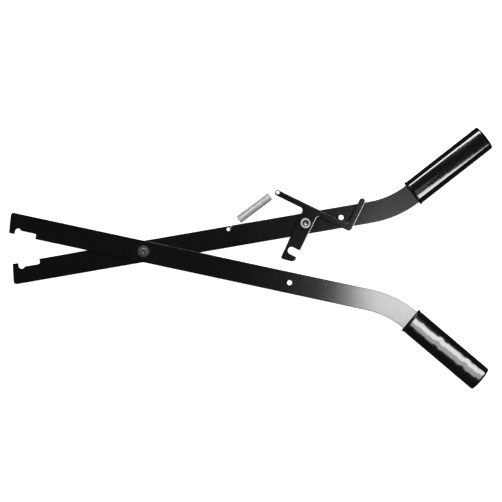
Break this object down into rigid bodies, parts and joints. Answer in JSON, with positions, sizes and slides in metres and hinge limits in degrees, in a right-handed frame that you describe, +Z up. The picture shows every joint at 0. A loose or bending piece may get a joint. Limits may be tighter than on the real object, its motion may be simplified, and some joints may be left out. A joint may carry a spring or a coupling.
{
  "type": "latching lever tongs",
  "caption": "Scissor-type lever tongs with hooked jaws, bent handles with black grips and a spring-loaded latch plate that locks them.",
  "frame": {"origin": "under the middle of the outer box, on the surface that the tool lies on", "axes": "+X from the jaws to the handles, halfway between the two levers; +Y towards the back lever's handle; +Z up, away from the surface"},
  "size_m": [0.714, 0.3878, 0.0363],
  "materials": {
    "black_powder_coat": "semi-gloss",
    "black_vinyl": "gloss",
    "black_oxide_steel": "satin",
    "bright_steel": "satin",
    "zinc_plated_steel": "bright zinc",
    "white_nylon": "matte"
  },
  "bodies": {
    "back": {"back_lever": "black_powder_coat", "back_grip": "black_vinyl", "pivot_screw": "black_oxide_steel", "pivot_thrust_washer": "white_nylon", "pivot_back_washer": "zinc_plated_steel", "pivot_lock_nut": "zinc_plated_steel", "pivot_nut_insert": "white_nylon", "latch_bush": "zinc_plated_steel", "latch_screw": "black_oxide_steel", "latch_back_washer": "zinc_plated_steel", "latch_lock_nut": "zinc_plated_steel", "latch_nut_insert": "white_nylon", "stop_pin": "bright_steel", "latch_spring": "zinc_plated_steel"},
    "front": {"front_lever": "black_powder_coat", "front_grip": "black_vinyl", "catch_pin": "bright_steel"},
    "latch": {"latch_plate": "black_powder_coat"}
  },
  "joints": [
    {"name": "jaw_pivot", "type": "hinge", "parent": "back", "child": "front", "pos_m": [-0.15736, 0, 0.0181], "axis": [0, 0, 1], "range_deg": [-60, 12.3]},
    {"name": "latch_pivot", "type": "hinge", "parent": "back", "child": "latch", "pos_m": [0.08082, 0.04608, 0.02376], "axis": [0, 0, -1], "range_deg": [0, 22], "stiffness_Nm_per_rad": 1.7, "springref_deg": -6.3, "deforming": ["latch_spring"]}
  ]
}
